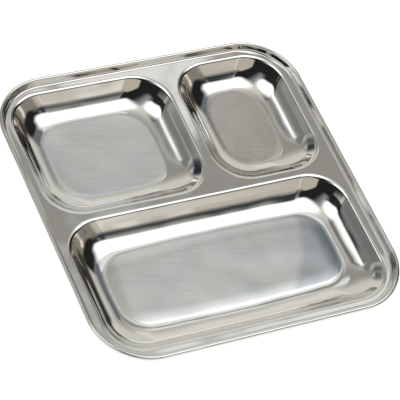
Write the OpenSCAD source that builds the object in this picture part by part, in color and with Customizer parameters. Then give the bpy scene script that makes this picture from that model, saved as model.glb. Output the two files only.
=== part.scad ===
// Divided compartment plate: one steel sheet pressed into three compartments,
// with its edge rolled over a wire. Millimetres, +Z up, and the origin at the
// centre of the plate, on the surface that it stands on.

/* [Plate] */
// Width over the rolled rim, left to right
plate_w = 240; // [228:1:300]
// Depth over the rolled rim, front to back
plate_d = 246; // [234:1:300]
// Corner radius of the rolled rim, at its outside
plate_corner_r = 42; // [32:1:56]
// Thickness of the sheet
sheet_t = 0.6; // [0.4:0.05:0.8]

/* [Compartments] */
// Depth of each compartment, from the land down to its floor
compartment_depth = 13; // [12.5:0.5:18]
// Width of the left compartment's mouth
left_mouth_w = 127.5; // [100:0.5:136]
// Front-to-back size of the front compartment's mouth
front_mouth_d = 112.2; // [86:0.2:124]
// Corner radius of a mouth
mouth_corner_r = 28; // [26.5:0.5:34]
// Radius over which the land turns down into a mouth
shoulder_r = 3.25; // [2:0.25:5]
// Slope of a compartment's wall, from level
wall_angle = 51; // [44:1:52]
// Distance from a mouth's edge in to the flat floor, seen from above
floor_inset = 23; // [19:0.5:25]

/* [Land] */
// Flat land between the rim's foot and a mouth
edge_land_w = 3.8; // [3:0.1:9]
// Flat land between the left and the right compartment
middle_land_w = 5; // [3:0.1:10]
// Flat land between the front compartment and the two behind it
cross_land_w = 4.2; // [3:0.1:10]

/* [Rolled rim] */
// Diameter of the wire in the rim
wire_d = 2; // [1.5:0.1:2.4]
// Play between the wire and the sheet rolled round it
wire_play = 0.05; // [0.02:0.01:0.1]
// Height of the wire's centre above the land
wire_rise = 3.3; // [3.2:0.1:4.2]
// Distance from the foot of the rim to the wire's centre, seen from above
foot_to_wire = 4.3; // [4.2:0.1:5.4]
// Radius between the land and the rim's wall
foot_fillet_r = 2; // [1.4:0.1:2.1]
// Open part of the roll, from the rim's wall round under the wire
roll_gap_angle = 66; // [60:1:100]
// Gap between the two ends of the wire
wire_end_gap = 0.3; // [0.1:0.05:1]

/* [Hidden] */
$fn = 96;

// How far a cutting shape runs past what it cuts
cut_overrun = 0.5;
// How far a swept section laps the flat sheet that it meets
section_lap = 1;
// Flat steps in each bend of the sheet
fillet_steps = 6;
shoulder_steps = 5;
foot_steps = 4;
roll_steps = 20;

// Height of the land's top above the surface that the plate stands on
land_z = sheet_t + compartment_depth;

// Rolled rim, measured outwards from the outline and upwards from the land
wire_r = wire_d / 2;
roll_r = wire_r + wire_play + sheet_t;
foot_inset = foot_to_wire + roll_r;
foot_centre = [-foot_inset, foot_fillet_r];
roll_centre = [-roll_r, wire_rise];
rim_lean = atan2(wire_rise - foot_fillet_r, foot_to_wire);
rim_angle = rim_lean + asin((foot_fillet_r + roll_r) / norm(roll_centre - foot_centre));
roll_end_angle = rim_angle + roll_gap_angle - 270;

// Compartment walls, measured outwards from the mouth's edge and upwards from the land
bends_r = (floor_inset * sin(wall_angle) - compartment_depth * cos(wall_angle)) / (1 - cos(wall_angle));
floor_fillet_r = bends_r - shoulder_r;
fillet_centre = [-floor_inset, floor_fillet_r - compartment_depth];
shoulder_centre = [0, -shoulder_r];

// Mouths of the compartments
mouth_inset = foot_inset + edge_land_w;
front_mouth_w = plate_w - 2 * mouth_inset;
right_mouth_w = front_mouth_w - left_mouth_w - middle_land_w;
back_mouth_d = plate_d - 2 * mouth_inset - front_mouth_d - cross_land_w;
left_x = (left_mouth_w - front_mouth_w) / 2;
right_x = (front_mouth_w - right_mouth_w) / 2;
front_y = (front_mouth_d - plate_d) / 2 + mouth_inset;
back_y = (plate_d - back_mouth_d) / 2 - mouth_inset;

// Each compartment as the centre of its mouth and the mouth's width and depth
compartments = [
    [[left_x, back_y], [left_mouth_w, back_mouth_d]],
    [[right_x, back_y], [right_mouth_w, back_mouth_d]],
    [[0, front_y], [front_mouth_w, front_mouth_d]],
];

// Points along a bend, from one angle to another
function bend(centre, r, from, to, steps) = [
    for (i = [0 : steps])
        let (angle = from + (to - from) * i / steps)
            centre + r * [cos(angle), sin(angle)]
];

function reversed(points) = [for (i = [len(points) - 1 : -1 : 0]) points[i]];

// One skin of a compartment's wall, at a depth in the sheet, from the floor out to the land
function wall_skin(depth) = concat(
    [fillet_centre - [section_lap, floor_fillet_r + depth]],
    bend(fillet_centre, floor_fillet_r + depth, -90, wall_angle - 90, fillet_steps),
    bend(shoulder_centre, shoulder_r - depth, wall_angle + 90, 90, shoulder_steps),
    [[section_lap, -depth]]
);

// One skin of the rim, at a depth in the sheet, from the land up and round the wire
function rim_skin(depth) = concat(
    [foot_centre - [section_lap, foot_fillet_r + depth]],
    bend(foot_centre, foot_fillet_r + depth, -90, rim_angle - 90, foot_steps),
    bend(roll_centre, roll_r - depth, rim_angle + 90, roll_end_angle, roll_steps)
);

// A rectangle with round corners, centred
module round_rectangle(size, r) {
    square(size - [0, 2 * r], center = true);
    square(size - [2 * r, 0], center = true);
    for (x = [-1, 1], y = [-1, 1])
        translate([x * (size.x / 2 - r), y * (size.y / 2 - r)])
            circle(r);
}

// Carries a section all round a rectangle with round corners. The section's x is
// the distance outwards from the rectangle, and its y is the height.
module carried_round(size, r) {
    for (side = [0 : 3]) {
        across = side % 2 == 0 ? size.x / 2 : size.y / 2;
        straight = (side % 2 == 0 ? size.y : size.x) - 2 * r;
        rotate(90 * side) {
            translate([across, straight / 2, 0])
                rotate([90, 0, 0])
                    linear_extrude(straight)
                        children();
            translate([across - r, straight / 2, 0])
                rotate_extrude(angle = 90)
                    translate([r, 0])
                        children();
        }
    }
}

// The one sheet: land, three compartments and rolled rim
module pressed_tray() {
    plate_size = [plate_w, plate_d];
    half_lap = section_lap / 2;
    color("silver") {
        translate([0, 0, land_z]) {
            carried_round(plate_size, plate_corner_r)
                polygon(concat(rim_skin(0), reversed(rim_skin(sheet_t))));
            for (c = compartments)
                translate(c[0])
                    carried_round(c[1], mouth_corner_r)
                        polygon(concat(wall_skin(0), reversed(wall_skin(sheet_t))));
        }
        translate([0, 0, land_z - sheet_t])
            linear_extrude(sheet_t)
                difference() {
                    round_rectangle(
                        plate_size - 2 * [foot_inset + half_lap, foot_inset + half_lap],
                        plate_corner_r - foot_inset - half_lap
                    );
                    for (c = compartments)
                        translate(c[0])
                            round_rectangle(c[1] + [section_lap, section_lap], mouth_corner_r + half_lap);
                }
        for (c = compartments)
            translate(c[0])
                linear_extrude(sheet_t)
                    round_rectangle(
                        c[1] - 2 * [floor_inset + half_lap, floor_inset + half_lap],
                        mouth_corner_r - floor_inset - half_lap
                    );
    }
}

// The wire that the sheet's edge is rolled over, with its ends meeting at the back
module rim_wire() {
    cut_size = wire_d + 2 * cut_overrun;
    color("gray")
        difference() {
            carried_round([plate_w, plate_d], plate_corner_r)
                translate([-roll_r, land_z + wire_rise])
                    circle(wire_r);
            translate([0, plate_d / 2 - roll_r, land_z + wire_rise])
                cube([wire_end_gap, cut_size, cut_size], center = true);
        }
}

pressed_tray();
rim_wire();
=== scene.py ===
import math

import bmesh
import bpy
from mathutils import Matrix, Vector


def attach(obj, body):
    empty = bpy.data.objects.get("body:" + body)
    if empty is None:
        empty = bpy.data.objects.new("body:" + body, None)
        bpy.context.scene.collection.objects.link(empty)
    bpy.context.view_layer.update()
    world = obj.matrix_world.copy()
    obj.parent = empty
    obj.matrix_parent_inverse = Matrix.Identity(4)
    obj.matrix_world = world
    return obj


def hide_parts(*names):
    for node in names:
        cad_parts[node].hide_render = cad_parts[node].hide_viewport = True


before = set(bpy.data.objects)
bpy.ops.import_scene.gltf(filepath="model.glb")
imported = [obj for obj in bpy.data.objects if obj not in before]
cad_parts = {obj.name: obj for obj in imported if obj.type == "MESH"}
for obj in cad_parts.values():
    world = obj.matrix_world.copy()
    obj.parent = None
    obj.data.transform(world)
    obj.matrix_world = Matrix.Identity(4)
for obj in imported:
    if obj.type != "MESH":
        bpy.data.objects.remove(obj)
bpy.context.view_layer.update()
print("frame loaded:", sorted(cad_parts))


class Flow:
    # one socket of a node tree, so that node maths can be written as Python
    def __init__(self, tree, socket=None):
        self.tree = tree
        self.socket = socket

    def node(self, kind, settings=None, sockets=None, out=0):
        made = self.tree.nodes.new(kind)
        for name, value in (settings or {}).items():
            setattr(made, name, value)
        for name, value in (sockets or {}).items():
            if isinstance(value, Flow):
                self.tree.links.new(value.socket, made.inputs[name])
            else:
                made.inputs[name].default_value = value
        return Flow(self.tree, made.outputs[out] if made.outputs else None)

    def axis(self, name):
        return self.node("ShaderNodeSeparateXYZ", None, {0: self}, name)

    def noise(self, scale, detail, out=0):
        return self.node("ShaderNodeTexNoise", None, {"Vector": self, "Scale": scale, "Detail": detail}, out)

    def blend(self, low, high):
        # a colour between two others, with this value as the share of the second
        return self.node("ShaderNodeMix", {"data_type": "RGBA"}, {"Factor": self, 6: low, 7: high}, 2)

    def maths(self, operation, *values):
        return self.node("ShaderNodeMath", {"operation": operation}, dict(enumerate((self, *values))))

    def clamped(self, low=0.0, high=1.0):
        return self.maths("MAXIMUM", low).maths("MINIMUM", high)

    def between(self, low, high):
        return ((self - low) / (high - low)).clamped()

    def __add__(self, other):
        return self.maths("ADD", other)

    def __sub__(self, other):
        return self.maths("SUBTRACT", other)

    def __mul__(self, other):
        return self.maths("MULTIPLY", other)

    def __truediv__(self, other):
        return self.maths("DIVIDE", other)

    def __rsub__(self, other):
        return self.node("ShaderNodeMath", {"operation": "SUBTRACT"}, {0: other, 1: self})

    __radd__ = __add__
    __rmul__ = __mul__


# Camera, at the photograph's viewing angle

view = {
    "azimuth": -40.37,  # from the front, to the left
    "elevation": 50.80,
    "roll": 21.40,
    "lens": 198.0,
    "sensor": 36.0,
    "distance": 1.5607,
    "aimRight": 0.0012,
    "aimUp": -0.0038,
    "aimHeight": 0.0136,
    "nearClip": 0.05,
}


def addCamera():
    azimuth, elevation, roll = (math.radians(view[key]) for key in ("azimuth", "elevation", "roll"))
    back = Vector((math.sin(azimuth) * math.cos(elevation), -math.cos(azimuth) * math.cos(elevation),
                   math.sin(elevation)))
    right = Vector((math.cos(azimuth), math.sin(azimuth), 0))
    up = back.cross(right)
    rolledRight = right * math.cos(roll) + up * math.sin(roll)
    rolledUp = up * math.cos(roll) - right * math.sin(roll)
    place = Vector((0, 0, view["aimHeight"])) + back * view["distance"]
    place += rolledRight * view["aimRight"] + rolledUp * view["aimUp"]
    data = bpy.data.cameras.new("photoCamera")
    data.lens = view["lens"]
    data.sensor_width = view["sensor"]
    data.clip_start = view["nearClip"]
    camera = bpy.data.objects.new("photoCamera", data)
    turn = Matrix((rolledRight, rolledUp, back)).transposed()
    camera.matrix_world = Matrix.Translation(place) @ turn.to_4x4()
    bpy.context.scene.collection.objects.link(camera)
    bpy.context.scene.camera = camera


addCamera()
print("camera placed")

# The pressed tray, in metres and radians

tray = {
    "Plate Width": 0.240,
    "Plate Depth": 0.246,
    "Plate Corner": 0.042,
    "Edge Land": 0.0038,
    "Middle Land": 0.005,
    "Cross Land": 0.0042,
    "Left Width": 0.1275,
    "Front Depth": 0.1122,
    "Mouth Corner": 0.028,
    "Floor Corner": 0.0175,
    "Floor Inset": 0.023,
    "Floor Bow": 0.003,
    "Crown Slope": math.radians(5.5),
    "Crown Length": 0.0100,
    "Back Crown Slope": math.radians(0.8),
    "Sink": 0.013,
    "Shoulder": 0.00325,
    "Wall Slope": math.radians(51),
    "Foot To Wire": 0.0043,
    "Wire Rise": 0.0033,
    "Foot Fillet": 0.002,
    "Roll Radius": 0.00165,
    "Roll Gap": math.radians(66),
    "Sheet": 0.0006,
}
meshing = {
    "corner": 32,  # steps in each bend
    "shoulder": 14,
    "fillet": 32,
    "dip": 4,
    "crown": 12,
    "foot": 10,
    "roll": 36,
    "side": 8,  # points along a side, between its corners
    "lead": 0.0006,  # straight lead at each end of a corner and at the start of a section
    "crownSpare": 0.002,  # how far past the crown its corners go on tightening
    "crownShrink": 0.9,  # share of their radius that they lose by then
    "merge": 1e-6,  # points this near become one
    "level": 1e-5,  # an edge this near a level lies on it
}
meshing["quarter"] = meshing["corner"] + 3 + meshing["side"]  # points from one corner to the next


def slopes(sizes):
    # what follows from the sizes: the rim wall's slope, the floor fillet's radius and the floors' crowns
    across = sizes["Foot To Wire"]
    rise = sizes["Wire Rise"] - sizes["Foot Fillet"]
    bends = sizes["Foot Fillet"] + sizes["Roll Radius"]
    rimSlope = math.atan2(rise, across) + math.asin(bends / math.hypot(across, rise))
    slope = sizes["Wall Slope"]
    bends = sizes["Floor Inset"] * math.sin(slope) - sizes["Sink"] * math.cos(slope)
    fillet = bends / (1 - math.cos(slope)) - sizes["Shoulder"]
    found = {"Rim Slope": rimSlope, "Floor Fillet": fillet}
    for crown in ("Crown", "Back Crown"):
        dip = sizes[crown + " Slope"]
        found[crown + " Radius"] = sizes["Crown Length"] / math.sin(dip)
        found[crown + " Rise"] = (fillet + found[crown + " Radius"]) * (1 - math.cos(dip))
    return found


def newTree(name, sizes):
    tree = bpy.data.node_groups.new(name, "GeometryNodeTree")
    for label in sizes:
        tree.interface.new_socket(label, in_out="INPUT", socket_type="NodeSocketFloat")
    inside = tree.nodes.new("NodeGroupInput")
    return tree, {label: Flow(tree, inside.outputs[label]) for label in sizes}


def closeTree(tree, geometry):
    tree.interface.new_socket("Geometry", in_out="OUTPUT", socket_type="NodeSocketGeometry")
    geometry.node("NodeGroupOutput", None, {0: geometry})


def inputNames(tree):
    return [item.name for item in tree.interface.items_tree if item.in_out == "INPUT"]


def joined(pieces):
    whole = pieces[0].node("GeometryNodeJoinGeometry")
    for piece in pieces:
        piece.tree.links.new(piece.socket, whole.socket.node.inputs[0])
    return whole


def sheetGrid(tree, rings):
    # a grid whose columns are rings of a section and whose rows go round a loop
    start = Flow(tree)
    around = 4 * meshing["quarter"]
    grid = start.node("GeometryNodeMeshGrid", None,
                      {"Size X": 1.0, "Size Y": 1.0, "Vertices X": rings, "Vertices Y": around + 1})
    place = start.node("GeometryNodeInputPosition")
    ring = ((place.axis("X") + 0.5) * (rings - 1)).maths("ROUND")
    turn = ((place.axis("Y") + 0.5) * around).maths("ROUND")
    return grid, ring, turn


def roundLoop(turn, halfWidth, halfDepth, radius):
    # each corner is a straight lead, an arc and another lead, and the points of the next side follow
    corner = (turn / meshing["quarter"]).maths("FLOOR")
    along = (turn - corner * meshing["quarter"] - 1) / meshing["corner"]
    share = along.clamped()
    past = (along - share) * meshing["corner"]
    acrossSide, alongSide = halfWidth - radius, halfDepth - radius
    side = acrossSide + corner.maths("MODULO", 2.0) * (alongSide - acrossSide)
    lead = past.clamped(-1.0, 1.0) * meshing["lead"]
    lead = lead + (past - 1).maths("MAXIMUM", 0) / (meshing["side"] + 1) * (side - meshing["lead"]) * 2
    angle = (corner + share) * (math.pi / 2)
    diagonal = corner * (math.pi / 2) + math.pi / 4
    cosine, sine = angle.maths("COSINE"), angle.maths("SINE")
    x = diagonal.maths("COSINE").maths("SIGN") * acrossSide + radius * cosine - lead * sine
    y = diagonal.maths("SINE").maths("SIGN") * alongSide + radius * sine + lead * cosine
    return x, y


def placed(grid, x, y, z):
    spot = x.node("ShaderNodeCombineXYZ", None, {"X": x, "Y": y, "Z": z})
    moved = x.node("GeometryNodeSetPosition", None, {"Geometry": grid, "Position": spot})
    return moved.node("GeometryNodeMergeByDistance", None, {"Geometry": moved, "Distance": meshing["merge"]})


def basinTree():
    # one compartment: a shoulder, a sloping wall, a wide fillet past its lowest line and a crowned floor
    labels = ["Centre X", "Centre Y", "Width", "Depth", "Mouth Corner", "Floor Corner", "Floor Inset",
              "Floor Bow", "Sink", "Shoulder", "Wall Slope", "Floor Fillet", "Crown Slope", "Crown Length",
              "Crown Radius"]
    tree, size = newTree("pressedBasin", labels)
    bendEnd = meshing["shoulder"] + 1
    filletEnd = bendEnd + 1 + meshing["fillet"]
    dipEnd = filletEnd + meshing["dip"]
    crownEnd = dipEnd + meshing["crown"]
    grid, ring, turn = sheetGrid(tree, crownEnd + 1)
    slope, inset, dip = size["Wall Slope"], size["Floor Inset"], size["Crown Slope"]
    bend = slope * ((ring - 1) / meshing["shoulder"]).clamped()
    fillet = slope * (1 - ((ring - bendEnd - 1) / meshing["fillet"]).clamped())
    fillet = fillet - dip * ((ring - filletEnd) / meshing["dip"]).clamped()
    crown = dip * (1 - ((ring - dipEnd) / meshing["crown"]).clamped())
    below = ring.maths("GREATER_THAN", bendEnd + 0.5)
    inside = ring.maths("GREATER_THAN", dipEnd + 0.5)
    inShoulder = size["Shoulder"] * bend.maths("SINE") + (ring - 1).maths("MINIMUM", 0) * meshing["lead"]
    inFillet = inset - size["Floor Fillet"] * fillet.maths("SINE")
    inCrown = inset + size["Floor Fillet"] * dip.maths("SINE") + size["Crown Length"]
    inCrown = inCrown - size["Crown Radius"] * crown.maths("SINE")
    inward = inShoulder + below * (inFillet - inShoulder)
    inward = inward + inside * (inCrown - inward)
    downShoulder = size["Shoulder"] * (bend.maths("COSINE") - 1)
    downFillet = size["Floor Fillet"] * (1 - fillet.maths("COSINE")) - size["Sink"]
    downCrown = size["Crown Radius"] * (crown.maths("COSINE") - dip.maths("COSINE"))
    downCrown = downCrown + size["Floor Fillet"] * (1 - dip.maths("COSINE")) - size["Sink"]
    height = downShoulder + below * (downFillet - downShoulder)
    height = height + inside * (downCrown - height)
    share = (inward / inset).clamped()
    radius = size["Mouth Corner"] + (size["Floor Corner"] - size["Mouth Corner"]) * share
    radius = radius - inward.maths("MINIMUM", 0)
    within = (inward - inset).maths("MAXIMUM", 0) / (size["Crown Length"] + meshing["crownSpare"])
    radius = radius * (1 - within * meshing["crownShrink"])
    halfWidth, halfDepth = size["Width"] / 2 - inward, size["Depth"] / 2 - inward
    x, y = roundLoop(turn, halfWidth, halfDepth, radius)
    bow = size["Floor Bow"] * share
    bowX = x / halfWidth * bow * (y / halfDepth).maths("POWER", 2.0)
    bowY = y / halfDepth * bow * (x / halfWidth).maths("POWER", 2.0)
    closeTree(tree, placed(grid, x - bowX + size["Centre X"], y - bowY + size["Centre Y"], height))
    return tree


def rimTree():
    # the rim: a small fillet off the land, a steep wall and the roll round the wire
    labels = ["Plate Width", "Plate Depth", "Plate Corner", "Foot To Wire", "Wire Rise", "Foot Fillet",
              "Roll Radius", "Roll Gap", "Rim Slope"]
    tree, size = newTree("rolledRim", labels)
    footEnd = meshing["foot"] + 1
    grid, ring, turn = sheetGrid(tree, footEnd + meshing["roll"] + 2)
    slope, roll = size["Rim Slope"], size["Roll Radius"]
    bend = slope * ((ring - 1) / meshing["foot"]).clamped()
    rolled = ((ring - footEnd - 1) / meshing["roll"]).clamped()
    angle = slope + math.pi / 2 - rolled * (2 * math.pi - size["Roll Gap"])
    onRoll = ring.maths("GREATER_THAN", footEnd + 0.5)
    inFoot = size["Foot To Wire"] + roll - size["Foot Fillet"] * bend.maths("SINE")
    inFoot = inFoot - (ring - 1).maths("MINIMUM", 0) * meshing["lead"]
    inRoll = roll - roll * angle.maths("COSINE")
    inward = inFoot + onRoll * (inRoll - inFoot)
    upFoot = size["Foot Fillet"] * (1 - bend.maths("COSINE"))
    upRoll = size["Wire Rise"] + roll * angle.maths("SINE")
    height = upFoot + onRoll * (upRoll - upFoot)
    x, y = roundLoop(turn, size["Plate Width"] / 2 - inward, size["Plate Depth"] / 2 - inward,
                     size["Plate Corner"] - inward)
    closeTree(tree, placed(grid, x, y, height))
    return tree


def trayTree():
    # the whole sheet's top skin: the rim, three compartments, their floors and the land between
    labels = [*tray, *slopes(tray)]
    tree, size = newTree("pressedTray", labels)
    start = Flow(tree)
    rimGroup, basinGroup = rimTree(), basinTree()
    rim = start.node("GeometryNodeGroup", {"node_tree": rimGroup},
                     {name: size[name] for name in inputNames(rimGroup)})
    mouthInset = size["Foot To Wire"] + size["Roll Radius"] + size["Edge Land"]
    wide = size["Plate Width"] - 2 * mouthInset
    deep = size["Plate Depth"] - 2 * mouthInset
    rightWidth = wide - size["Left Width"] - size["Middle Land"]
    backDepth = deep - size["Front Depth"] - size["Cross Land"]
    backY = (deep - backDepth) / 2
    mouths = [
        ((size["Left Width"] - wide) / 2, backY, size["Left Width"], backDepth, "Back Crown"),
        ((wide - rightWidth) / 2, backY, rightWidth, backDepth, "Back Crown"),
        (0.0, (size["Front Depth"] - deep) / 2, wide, size["Front Depth"], "Crown"),
    ]
    basins = []
    for x, y, width, depth, crown in mouths:
        sizes = {**size, "Centre X": x, "Centre Y": y, "Width": width, "Depth": depth,
                 "Crown Slope": size[crown + " Slope"], "Crown Radius": size[crown + " Radius"]}
        basins.append(start.node("GeometryNodeGroup", {"node_tree": basinGroup},
                                 {name: sizes[name] for name in inputNames(basinGroup)}))
    shells = joined([rim, *basins])
    height = start.node("GeometryNodeInputPosition").axis("Z")
    openEdge = start.node("GeometryNodeInputMeshEdgeNeighbors").maths("COMPARE", 1.0, 0.1)  # one face only
    fills = []
    for level in (0.0, size["Crown Rise"] - size["Sink"], size["Back Crown Rise"] - size["Sink"]):
        atLevel = openEdge * height.maths("COMPARE", level, meshing["level"])
        loops = start.node("GeometryNodeMeshToCurve", None, {"Mesh": shells, "Selection": atLevel})
        flat = start.node("GeometryNodeFillCurve", None, {"Curve": loops})
        shift = start.node("ShaderNodeCombineXYZ", None, {"Z": level})
        fills.append(start.node("GeometryNodeTransform", None, {"Geometry": flat, "Translation": shift}))
    merged = start.node("GeometryNodeMergeByDistance", None,
                        {"Geometry": joined([shells, *fills]), "Distance": meshing["merge"]})
    lift = start.node("ShaderNodeCombineXYZ", None, {"Z": size["Sink"] + size["Sheet"]})
    lifted = start.node("GeometryNodeTransform", None, {"Geometry": merged, "Translation": lift})
    smooth = start.node("GeometryNodeSetShadeSmooth", None, {"Geometry": lifted})
    real = start.node("GeometryNodeRealizeInstances", None, {"Geometry": smooth})
    tree.interface.new_socket("Material", in_out="INPUT", socket_type="NodeSocketMaterial")
    inside = next(node for node in tree.nodes if node.bl_idname == "NodeGroupInput")
    dressed = start.node("GeometryNodeSetMaterial", None,
                         {"Geometry": real, "Material": Flow(tree, inside.outputs["Material"])})
    closeTree(tree, dressed)
    return tree


def bakedMesh(holder, name):
    # the evaluated shape as a plain mesh
    graph = bpy.context.evaluated_depsgraph_get()
    graph.update()
    mesh = bpy.data.meshes.new_from_object(holder.evaluated_get(graph))
    mesh.name = name
    return mesh


def makeTray(material):
    holder = bpy.data.objects.new("trayHolder", bpy.data.meshes.new("trayHolder"))
    bpy.context.scene.collection.objects.link(holder)
    tree = trayTree()
    modifier = holder.modifiers.new("pressing", "NODES")
    modifier.node_group = tree
    values = {**tray, **slopes(tray), "Material": material}
    for item in tree.interface.items_tree:
        if item.in_out == "INPUT":
            modifier[item.identifier] = values[item.name]
    skin = bakedMesh(holder, "traySkin")
    holder.modifiers.remove(modifier)
    work = bmesh.new()
    work.from_mesh(skin)
    bmesh.ops.recalc_face_normals(work, faces=work.faces)
    upward = sum(face.normal.z * face.calc_area() for face in work.faces)
    if upward < 0:
        bmesh.ops.reverse_faces(work, faces=work.faces)
    openEdges = [edge for edge in work.edges if edge.is_boundary]
    print("tray skin:", len(work.faces), "faces,", len(openEdges), "open edges")
    work.to_mesh(skin)
    work.free()
    holder.data = skin
    thick = holder.modifiers.new("sheet", "SOLIDIFY")
    thick.thickness = tray["Sheet"]
    thick.offset = -1.0
    thick.use_even_offset = True
    mesh = bakedMesh(holder, "traySheet")
    holder.modifiers.remove(thick)
    bpy.data.objects.remove(holder)
    piece = bpy.data.objects.new("traySheet", mesh)
    bpy.context.scene.collection.objects.link(piece)
    return piece


# Steel: polished on the walls, the land and the rim, and brushed satin on the floors

steel = {
    "polished": (0.71, 0.705, 0.69, 1.0),
    "warmSatin": (0.71, 0.70, 0.675, 1.0),
    "coolSatin": (0.62, 0.65, 0.685, 1.0),
    "polishedRoughness": 0.045,
    "polishedSpread": 0.02,
    "satinRoughness": 0.17,
    "satinSpread": 0.06,
    "satinFloors": [  # centre, size and corner of each satin patch
        ((-0.0485, 0.0565), (0.0860, 0.0707), 0.018),
        ((0.06625, 0.0582), (0.0495, 0.0716), 0.018),
        ((0.0, -0.0550), (0.1755, 0.0630), 0.018),
    ],
    "satinEdge": 0.0007,
    "brushTurn": math.radians(13.6),  # the brushing lies a little off the plate's width
    "wideBrush": (18.0, 1600.0, 1.0),  # how fine the brush lines are, along and across them
    "fineBrush": (70.0, 4200.0, 1.0),
    "brushDetail": 2.0,
    "brushTint": 1.8,
    "brushDepth": 0.00002,
    "cloudScale": 24.0,
    "cloudDetail": 1.0,
    "cloudTint": 1.2,
    "waveDepth": 0.0007,  # the sheet is never quite even
    "hazeScale": 90.0,
    "hazeDetail": 3.0,
    # painted reflection: towards its right end the front floor's satin colour is painted cooler and darker,
    # standing in for a dark reflection there
    "paintedReflection": {"centre": (-0.0353, -0.0106), "start": 0.104, "soft": 0.006, "back": -0.018,
                "colour": (0.40, 0.44, 0.48, 1.0), "share": 0.65},
    # the right-hand back floor is a little warmer and darker
    "warmFloor": {"left": 0.0197, "front": 0.001, "colour": (0.533, 0.501, 0.469, 1.0), "share": 0.75},
}


def roundedEdge(x, y, half, corner):
    # distance from the edge of a rectangle with round corners, less than nought inside it
    across = x.maths("ABSOLUTE") - (half[0] - corner)
    along = y.maths("ABSOLUTE") - (half[1] - corner)
    out, up = across.maths("MAXIMUM", 0), along.maths("MAXIMUM", 0)
    outside = (out * out + up * up).maths("SQRT")
    inside = across.maths("MAXIMUM", along).maths("MINIMUM", 0)
    return outside + inside - corner


def floorMask(place):
    # one on the satin patches, which bow in as the floors do, and nought outside them
    x, y = place.axis("X"), place.axis("Y")
    nearest = None
    for centre, size, corner in steel["satinFloors"]:
        half = (size[0] / 2, size[1] / 2)
        across, along = x - centre[0], y - centre[1]
        wider = (along / half[1]).maths("POWER", 2.0) * (tray["Floor Bow"] / half[0]) + 1
        deeper = (across / half[0]).maths("POWER", 2.0) * (tray["Floor Bow"] / half[1]) + 1
        edge = roundedEdge(across * wider, along * deeper, half, corner)
        nearest = edge if nearest is None else nearest.maths("MINIMUM", edge)
    return 1 - nearest.between(-steel["satinEdge"], steel["satinEdge"])


def paintedReflectionMask(place):
    # where the painted dark reflection lies, at the front floor's right end
    end = steel["paintedReflection"]
    x, y = place.axis("X"), place.axis("Y")
    across, along = x - end["centre"][0], y - end["centre"][1]
    reach = (across * across + along * along).maths("SQRT") - end["start"]
    return reach.between(0.0, end["soft"]) * y.maths("LESS_THAN", end["back"]) * end["share"]


def warmFloorMask(place):
    floor = steel["warmFloor"]
    toRight = place.axis("X").maths("GREATER_THAN", floor["left"])
    toBack = place.axis("Y").maths("GREATER_THAN", floor["front"])
    return toRight * toBack * floor["share"]


def brushLines(place, scale):
    # noise drawn out along the brushing
    turn = (0, 0, steel["brushTurn"])
    turned = place.node("ShaderNodeMapping", None, {"Vector": place, "Rotation": turn})
    drawn = turned.node("ShaderNodeMapping", None, {"Vector": turned, "Scale": scale})
    return drawn.noise(1.0, steel["brushDetail"])


def steelFinish(place):
    onFloor = floorMask(place)
    wideLines = brushLines(place, steel["wideBrush"])
    fineLines = brushLines(place, steel["fineBrush"])
    cloud = place.noise(steel["cloudScale"], steel["cloudDetail"])
    haze = place.noise(steel["hazeScale"], steel["hazeDetail"])
    cool = 0.5 + (cloud - 0.5) * steel["cloudTint"] + (wideLines - 0.5) * steel["brushTint"]
    satin = cool.clamped().blend(steel["warmSatin"], steel["coolSatin"])
    # painted reflection: the front floor's right end is painted a dark blue-grey
    satin = paintedReflectionMask(place).blend(satin, steel["paintedReflection"]["colour"])
    satin = warmFloorMask(place).blend(satin, steel["warmFloor"]["colour"])
    colour = onFloor.blend(steel["polished"], satin)
    polish = steel["polishedRoughness"] + (haze - 0.5) * steel["polishedSpread"]
    brushed = steel["satinRoughness"] + (wideLines + cloud - 1) * steel["satinSpread"]
    rough = polish + onFloor * (brushed - polish)
    height = cloud * steel["waveDepth"] + fineLines * onFloor * steel["brushDepth"]
    bump = place.node("ShaderNodeBump", None, {"Strength": 1.0, "Distance": 1.0, "Height": height})
    return {"Base Color": colour, "Roughness": rough, "Normal": bump}


def metal(name, finish):
    # a metal with the colour, roughness and normal that its finish gives at each place
    material = bpy.data.materials.new(name)
    material.use_nodes = True
    tree = material.node_tree
    tree.nodes.clear()
    start = Flow(tree)
    shown = finish(start.node("ShaderNodeTexCoord", out="Object"))
    shader = start.node("ShaderNodeBsdfPrincipled", None, {"Metallic": 1.0, **shown})
    start.node("ShaderNodeOutputMaterial", None, {"Surface": shader})
    return material


trayPiece = makeTray(metal("polishedSteel", steelFinish))
print("tray made:", len(trayPiece.data.polygons), "faces")

# The wire in the rim keeps its CAD shape and gets a drawn finish

wire = {
    "colour": (0.46, 0.455, 0.44, 1.0),
    "bright": (0.58, 0.575, 0.56, 1.0),
    "roughness": 0.34,
    "spread": 0.2,
    "grainScale": 900.0,
    "grainDetail": 3.0,
}


def wireFinish(place):
    drawn = place.noise(wire["grainScale"], wire["grainDetail"])
    rough = wire["roughness"] + (drawn - 0.5) * wire["spread"]
    return {"Base Color": drawn.blend(wire["colour"], wire["bright"]), "Roughness": rough}


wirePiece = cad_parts["rim_wire"]
wirePiece.data.materials.clear()
wirePiece.data.materials.append(metal("drawnWire", wireFinish))
print("wire dressed")

# Floor and studio light

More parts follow.
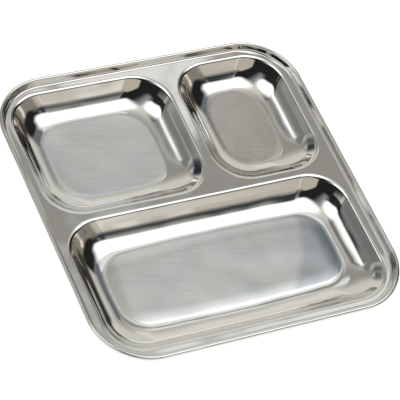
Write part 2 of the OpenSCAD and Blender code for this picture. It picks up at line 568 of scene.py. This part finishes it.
studio = {
    "floorSize": 40.0,
    "floorDrop": 0.0002,  # the floor lies just under the part
    "floorColour": (0.9, 0.9, 0.9, 1.0),
    "floorRoughness": 0.9,
    "floorGlow": 0.6,
    "base": (0.80, 0.79, 0.72, 1.0),
    "wander": 3.0,  # how far the panels' edges wander, in degrees
    "wanderScale": 0.07,
    "overhead": 1e-4,  # what lies nearer to straight overhead counts as this far off
    "panelCorner": 0.8,  # a corner's radius, as a share of the panel's shorter half
    # each panel's place in degrees from overhead, to the camera's right and away from it,
    # with its half sizes, tilt, soft edge and colour
    "panels": [
        {"name": "backLeftGrey", "place": (-77.8, 18.5), "half": (107.3, 12.0), "tilt": 17, "blur": 20.4,
         "colour": (0.38, 0.37, 0.34)},
        {"name": "backGlow", "place": (-1.8, 43.2), "half": (3.2, 7.6), "tilt": 30, "blur": 19.2,
         "colour": (0.90, 0.91, 0.89)},
        {"name": "backLight", "place": (-22.4, 74.1), "half": (2.6, 30.5), "tilt": 43, "blur": 4.0,
         "colour": (0.93, 0.90, 0.84)},
        {"name": "rightBeige", "place": (52.0, -22.0), "half": (26.0, 9.0), "tilt": 22, "blur": 8.0,
         "colour": (0.66, 0.60, 0.51)},
        {"name": "rightLightStrip", "place": (54.6, -23.4), "half": (9.0, 1.1), "tilt": -41, "blur": 1.6,
         "colour": (0.96, 0.92, 0.84)},
        {"name": "rightRoom", "place": (67.9, 44.1), "half": (22.9, 54.7), "tilt": 2, "blur": 16.0,
         "colour": (0.31, 0.28, 0.23)},
        {"name": "rightDark", "place": (37.3, 35.0), "half": (15.0, 24.9), "tilt": 24, "blur": 10.0,
         "colour": (0.02, 0.02, 0.02)},
        {"name": "rightFarDark", "place": (73.1, 26.6), "half": (3.0, 15.9), "tilt": -7, "blur": 4.0,
         "colour": (0.02, 0.02, 0.02)},
        {"name": "backRightDark", "place": (46.5, 72.0), "half": (19.9, 18.3), "tilt": 26, "blur": 12.0,
         "colour": (0.07, 0.06, 0.05)},
        {"name": "rightLightPatch", "place": (60.3, 39.3), "half": (7.9, 3.6), "tilt": -15, "blur": 7.1,
         "colour": (1.06, 0.99, 0.91)},
        {"name": "frontDark", "place": (-7.6, -21.8), "half": (46.5, 25.8), "tilt": -7, "blur": 8.0,
         "colour": (0.02, 0.02, 0.02)},
        {"name": "frontLeftGrey", "place": (-46.3, -16.1), "half": (18.7, 9.3), "tilt": -18, "blur": 5.6,
         "colour": (0.03, 0.03, 0.03)},
        {"name": "frontRightGrey", "place": (45.1, -46.1), "half": (28.5, 20.4), "tilt": -28, "blur": 5.2,
         "colour": (0.62, 0.57, 0.48)},
        {"name": "frontDarker", "place": (15.0, -47.6), "half": (31.6, 2.5), "tilt": -4, "blur": 4.0,
         "colour": (0.02, 0.02, 0.02)},
        {"name": "farWallDark", "place": (44.3, -0.7), "half": (5.9, 16.7), "tilt": -5, "blur": 15.8,
         "colour": (0.03, 0.035, 0.04)},
        {"name": "farWallBlue", "place": (36.0, 3.0), "half": (16.0, 5.0), "tilt": -47, "blur": 8.0,
         "colour": (0.04, 0.05, 0.06)},
        {"name": "frontLeftWhite", "place": (-36.0, -47.6), "half": (31.0, 8.3), "tilt": -30, "blur": 5.4,
         "colour": (1.17, 1.18, 1.16)},
        {"name": "leftDark", "place": (-56.3, 0.2), "half": (6.3, 25.4), "tilt": -31, "blur": 5.7,
         "colour": (0.25, 0.26, 0.25)},
        {"name": "leftLight", "place": (-85.1, 10.4), "half": (7.6, 36.0), "tilt": -38, "blur": 7.7,
         "colour": (1.60, 1.60, 1.58)},
        {"name": "leftFarDark", "place": (-88.7, 3.2), "half": (19.2, 52.0), "tilt": -15, "blur": 19.1,
         "colour": (0.03, 0.03, 0.04)},
        {"name": "leftSoftbox", "place": (-23.9, -0.7), "half": (18.7, 13.9), "tilt": -10, "blur": 8.0,
         "colour": (1.75, 1.75, 1.73)},
        {"name": "rightSoftbox", "place": (17.2, 15.8), "half": (17.2, 19.5), "tilt": -22, "blur": 8.0,
         "colour": (1.75, 1.77, 1.77)},
        {"name": "notch", "place": (-5.9, -11.8), "half": (3.6, 16.7), "tilt": -22, "blur": 18.0,
         "colour": (0.42, 0.44, 0.45)},
        {"name": "leftLine", "place": (-24.3, 15.9), "half": (2.5, 11.2), "tilt": 111, "blur": 14.1,
         "colour": (0.00, 0.00, 0.03)},
        {"name": "flatGrey", "place": (1.0, 41.5), "half": (8.0, 3.5), "tilt": 0, "blur": 3.0,
         "colour": (0.38, 0.37, 0.34)},
        {"name": "flatLeftLight", "place": (-6.5, 43.0), "half": (5.6, 2.8), "tilt": 0, "blur": 2.5,
         "colour": (1.00, 0.99, 0.96)},
        {"name": "flatLeftGrey", "place": (-8.0, 36.6), "half": (6.0, 2.3), "tilt": 0, "blur": 2.0,
         "colour": (0.38, 0.37, 0.34)},
        {"name": "flatNearLight", "place": (4.2, 34.4), "half": (7.0, 3.0), "tilt": 35, "blur": 0.9,
         "colour": (1.00, 1.00, 0.98)},
        {"name": "backBlue", "place": (12.4, 45.5), "half": (7.0, 6.5), "tilt": 0, "blur": 1.6,
         "colour": (0.17, 0.20, 0.22)},
        {"name": "horizonDark", "place": (40.0, 82.0), "half": (22.0, 9.0), "tilt": -25, "blur": 6.0,
         "colour": (0.03, 0.03, 0.03)},
        {"name": "leftCream", "place": (-84.0, -18.0), "half": (8.0, 5.0), "tilt": 20, "blur": 4.0,
         "colour": (0.95, 0.90, 0.80)},
    ],
}


def skyPlace(direction):
    # where a direction lies on the sky, in degrees from overhead
    turn = math.radians(view["azimuth"])
    axes = ((math.cos(turn), math.sin(turn), 0), (-math.sin(turn), math.cos(turn), 0), (0, 0, 1))
    right, away, up = (direction.node("ShaderNodeVectorMath", {"operation": "DOT_PRODUCT"},
                                      {0: direction, 1: axis}, "Value") for axis in axes)
    level = (right * right + away * away).maths("SQRT").maths("MAXIMUM", studio["overhead"])
    degrees = level.maths("ARCTAN2", up) * (180 / math.pi)
    spot = direction.node("ShaderNodeCombineXYZ", None,
                          {"X": right * degrees / level, "Y": away * degrees / level})
    ripple = spot.noise(studio["wanderScale"], 1.0, "Color")
    wander = studio["wander"]
    moved = spot.node("ShaderNodeVectorMath", {"operation": "MULTIPLY_ADD"},
                      {0: ripple, 1: (wander, wander, 0), 2: spot})
    return moved.node("ShaderNodeVectorMath", {"operation": "SUBTRACT"},
                      {0: moved, 1: (wander / 2, wander / 2, 0)})


def panelMask(place, panel):
    # a soft-edged panel with round corners on the sky
    turned = place.node("ShaderNodeMapping", {"vector_type": "TEXTURE"},
                        {"Vector": place, "Location": (*panel["place"], 0),
                         "Rotation": (0, 0, math.radians(panel["tilt"]))})
    half, soft = panel["half"], panel["blur"] / 2
    edge = roundedEdge(turned.axis("X"), turned.axis("Y"), half, studio["panelCorner"] * min(half))
    return edge.node("ShaderNodeMapRange", {"interpolation_type": "SMOOTHSTEP"},
                     {"Value": edge, "From Min": -soft, "From Max": soft, "To Min": 1.0, "To Max": 0.0})


def makeSky():
    world = bpy.data.worlds.new("studio")
    bpy.context.scene.world = world
    world.use_nodes = True
    tree = world.node_tree
    tree.nodes.clear()
    start = Flow(tree)
    place = skyPlace(start.node("ShaderNodeTexCoord", out="Generated"))
    colour = studio["base"]
    for panel in studio["panels"]:
        colour = panelMask(place, panel).blend(colour, (*panel["colour"], 1.0))
    sky = start.node("ShaderNodeBackground", None, {"Color": colour, "Strength": 1.0})
    start.node("ShaderNodeOutputWorld", None, {"Surface": sky})


def makeFloor():
    half = studio["floorSize"] / 2
    corners = [(-half, -half, 0), (half, -half, 0), (half, half, 0), (-half, half, 0)]
    mesh = bpy.data.meshes.new("paleFloor")
    mesh.from_pydata(corners, [], [(0, 1, 2, 3)])
    floor = bpy.data.objects.new("paleFloor", mesh)
    floor.location.z = -studio["floorDrop"]
    bpy.context.scene.collection.objects.link(floor)
    material = bpy.data.materials.new("paleFloor")
    material.use_nodes = True
    shader = material.node_tree.nodes["Principled BSDF"]
    shader.inputs["Base Color"].default_value = studio["floorColour"]
    shader.inputs["Roughness"].default_value = studio["floorRoughness"]
    shader.inputs["Emission Color"].default_value = (1, 1, 1, 1)
    shader.inputs["Emission Strength"].default_value = studio["floorGlow"]
    mesh.materials.append(material)


makeSky()
makeFloor()
bpy.context.scene.view_settings.view_transform = "Standard"
print("studio lit")

# Every piece goes with the one body

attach(trayPiece, "root")
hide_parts("pressed_tray")
